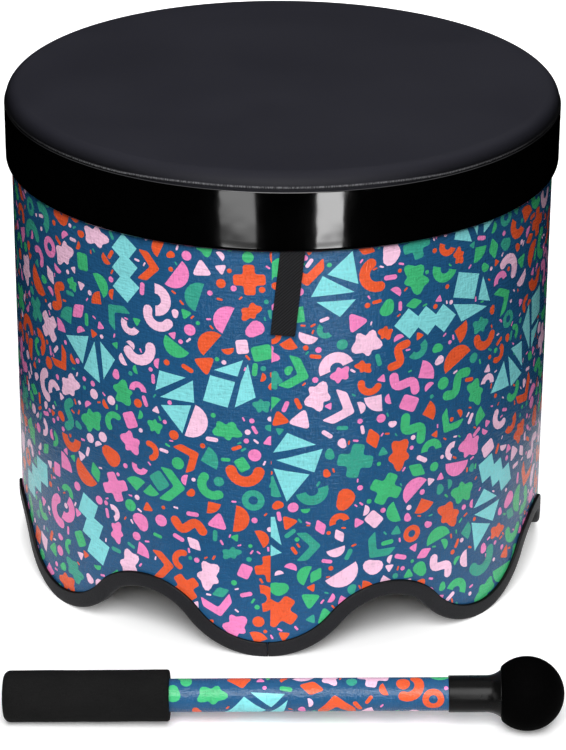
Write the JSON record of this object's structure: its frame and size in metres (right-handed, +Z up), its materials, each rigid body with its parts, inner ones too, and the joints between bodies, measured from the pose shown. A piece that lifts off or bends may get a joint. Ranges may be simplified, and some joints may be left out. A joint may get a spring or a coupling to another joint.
{
  "type": "gathering drum",
  "caption": "Upright floor drum with a flat dark head, gloss rim band, printed shell on scalloped feet with edge trim, a webbing loop under the rim and a ball mallet.",
  "frame": {"origin": "on the drum axis, on the floor the feet stand on", "axes": "+Z up along the drum axis, -Y towards the front with the cover's seam and the webbing loop, +X to the right"},
  "size_m": [0.415, 0.5345, 0.377],
  "materials": {
    "fibre_shell": "matt",
    "printed_cover": "linen texture, multicolour print on navy",
    "edge_trim": "satin",
    "hoop_wood": "matt",
    "gloss_band": "high gloss",
    "edge_plastic": "matt",
    "head_film": "satin matt",
    "webbing": "twill",
    "stick_wood": "matt",
    "printed_sleeve": "multicolour print on navy",
    "grip_foam": "fine cell foam",
    "gloss_collar": "gloss",
    "ball_rubber": "matt"
  },
  "bodies": {
    "drum": {"shell": "fibre_shell", "shell_wrap": "printed_cover", "base_trim": "edge_trim", "rim_hoop": "hoop_wood", "rim_band": "gloss_band", "edge_ring": "edge_plastic", "head_film": "head_film", "strap_tail": "webbing"},
    "strap": {"strap_loop": "webbing"},
    "mallet": {"mallet_stick": "stick_wood", "mallet_sleeve": "printed_sleeve", "mallet_grip": "grip_foam", "mallet_collar": "gloss_collar", "mallet_ball": "ball_rubber"}
  },
  "joints": [
    {"name": "strap_swing", "type": "hinge", "parent": "drum", "child": "strap", "pos_m": [0.00715, -0.20472, 0.3162], "axis": [-0.9939, -0.0347, 0.1045], "range_deg": [0, 110]},
    {"name": "mallet_lift", "type": "slide", "parent": "drum", "child": "mallet", "axis": [0, 0, 1], "range_m": [0, 0.45]}
  ]
}
